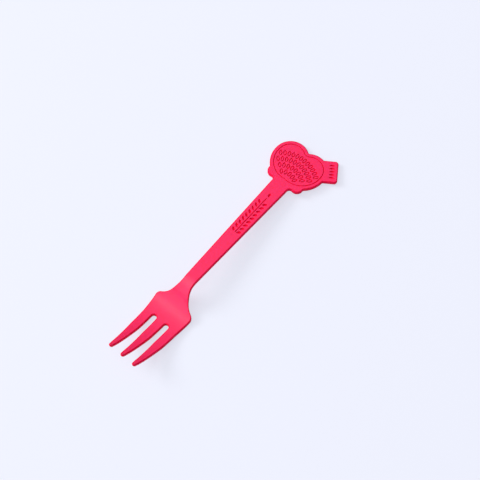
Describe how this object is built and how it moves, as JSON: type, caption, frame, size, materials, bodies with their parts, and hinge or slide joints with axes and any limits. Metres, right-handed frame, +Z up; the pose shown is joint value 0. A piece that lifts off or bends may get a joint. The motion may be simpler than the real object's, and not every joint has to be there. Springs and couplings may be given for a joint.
{
  "type": "dessert fork",
  "caption": "Small moulded plastic dessert fork with curved tapering tines, a cranked neck, a flat flaring stem and a heart-shaped end plate with a side tab.",
  "frame": {"origin": "middle of the bounding box at its base, on the table that the fork lies on", "axes": "+X from the tine tips towards the end plate, +Y to the left looking along +X, +Z up with the hollow of the tines upwards"},
  "size_m": [0.1402, 0.0349, 0.0139],
  "materials": {
    "plastic": "satin, coral red, coloured right through"
  },
  "bodies": {
    "root": {"tine_left": "plastic", "tine_middle": "plastic", "tine_right": "plastic", "palm": "plastic", "neck": "plastic", "stem": "plastic", "end_plate": "plastic"}
  },
  "joints": []
}
